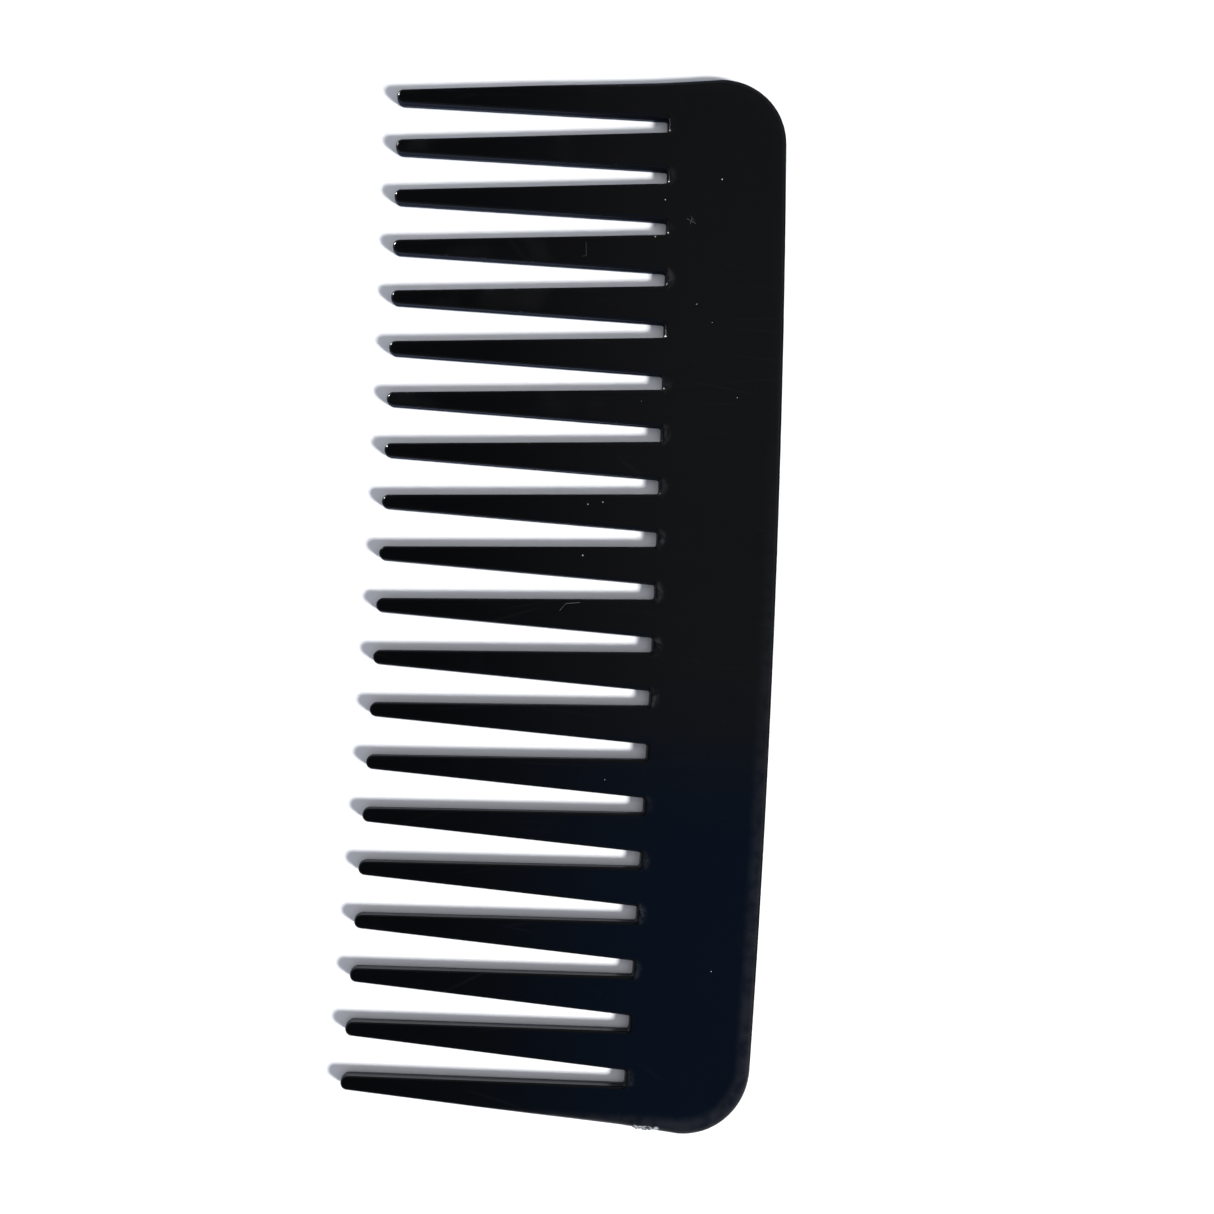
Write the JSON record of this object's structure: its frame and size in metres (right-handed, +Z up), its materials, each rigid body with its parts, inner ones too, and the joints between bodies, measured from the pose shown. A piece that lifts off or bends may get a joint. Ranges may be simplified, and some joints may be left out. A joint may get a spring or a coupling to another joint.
{
  "type": "wide tooth comb",
  "caption": "Flat wide tooth hair comb moulded in one piece: long tapered teeth with rounded tips along one side of a deep plain spine with rounded corners.",
  "frame": {"origin": "under the middle of the comb's bounding box, on the surface that the comb lies on", "axes": "+X along the comb from the first tooth to the last, +Y across it from the tips of the teeth to the back edge of the spine, +Z up through its thickness, with the comb lying flat"},
  "size_m": [0.1596, 0.0616, 0.003],
  "materials": {
    "black_plastic": "polished injection moulded black plastic with fine handling scratches and dust"
  },
  "bodies": {
    "root": {"spine": "black_plastic", "tooth_01": "black_plastic", "tooth_02": "black_plastic", "tooth_03": "black_plastic", "tooth_04": "black_plastic", "tooth_05": "black_plastic", "tooth_06": "black_plastic", "tooth_07": "black_plastic", "tooth_08": "black_plastic", "tooth_09": "black_plastic", "tooth_10": "black_plastic", "tooth_11": "black_plastic", "tooth_12": "black_plastic", "tooth_13": "black_plastic", "tooth_14": "black_plastic", "tooth_15": "black_plastic", "tooth_16": "black_plastic", "tooth_17": "black_plastic", "tooth_18": "black_plastic", "tooth_19": "black_plastic", "tooth_20": "black_plastic"}
  },
  "joints": []
}
